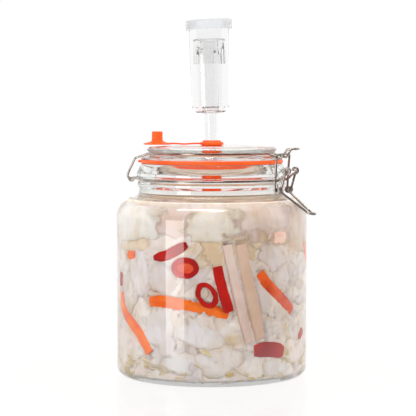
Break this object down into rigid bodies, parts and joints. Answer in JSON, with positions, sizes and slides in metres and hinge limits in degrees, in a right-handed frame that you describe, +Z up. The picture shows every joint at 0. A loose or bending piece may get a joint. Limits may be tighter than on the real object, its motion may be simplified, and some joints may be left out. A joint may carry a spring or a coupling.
{
  "type": "fermentation jar",
  "caption": "Clear clip-top glass jar of pickled cabbage, carrot, radish and chilli, with a silicone stopper and a water airlock in its hinged lid.",
  "frame": {"origin": "centre of the jar's base, on the surface it stands on", "axes": "+Z up through the lid; +X towards the latch, -X towards the hinge; +Y completes the right hand"},
  "size_m": [0.1848, 0.17, 0.3165],
  "materials": {
    "jar_glass": "clear, glossy",
    "lid_glass": "clear, glossy",
    "silicone": "satin orange silicone",
    "steel_wire": "bright drawn wire",
    "clear_plastic": "clear, glossy",
    "frosted_plastic": "frosted",
    "cabbage": "wet pale leaf",
    "carrot": "wet cut carrot",
    "daikon": "wet cut radish",
    "chilli": "wet glossy red skin"
  },
  "bodies": {
    "jar": {"cabbage_heap": "cabbage", "carrot_back_far": "carrot", "carrot_back_low": "carrot", "carrot_back_mid": "carrot", "carrot_bit": "carrot", "carrot_high": "carrot", "carrot_left": "carrot", "carrot_long": "carrot", "carrot_right": "carrot", "carrot_side": "carrot", "chilli_back": "chilli", "chilli_band": "chilli", "chilli_corner": "chilli", "chilli_ring_back": "chilli", "chilli_ring_far": "chilli", "chilli_ring_left": "chilli", "chilli_ring_loop": "chilli", "chilli_ring_side": "chilli", "chilli_side": "chilli", "chilli_sliver": "chilli", "chilli_strip": "chilli", "daikon_back": "daikon", "daikon_far": "daikon", "daikon_front": "daikon", "daikon_pale": "daikon", "daikon_side": "daikon", "jar_glass": "jar_glass", "neck_band": "steel_wire"},
    "lid": {"lid_glass": "lid_glass", "gasket": "silicone", "lid_bail": "steel_wire", "stopper": "silicone", "airlock_body": "clear_plastic", "airlock_float": "clear_plastic", "airlock_cap": "frosted_plastic"},
    "link": {"latch_link": "steel_wire"},
    "lever": {"latch_lever": "steel_wire"}
  },
  "joints": [
    {"name": "lid_hinge", "type": "hinge", "parent": "jar", "child": "lid", "pos_m": [-0.0749, 0, 0.1742], "axis": [0, -1, 0], "range_deg": [0, 110]},
    {"name": "link_swing", "type": "hinge", "parent": "lid", "child": "link", "pos_m": [0.069, 0, 0.197], "axis": [0, -1, 0], "range_deg": [0, 95]},
    {"name": "lever_swing", "type": "hinge", "parent": "jar", "child": "lever", "pos_m": [0.0768, 0, 0.1826], "axis": [0, -1, 0], "range_deg": [0, 140]}
  ]
}
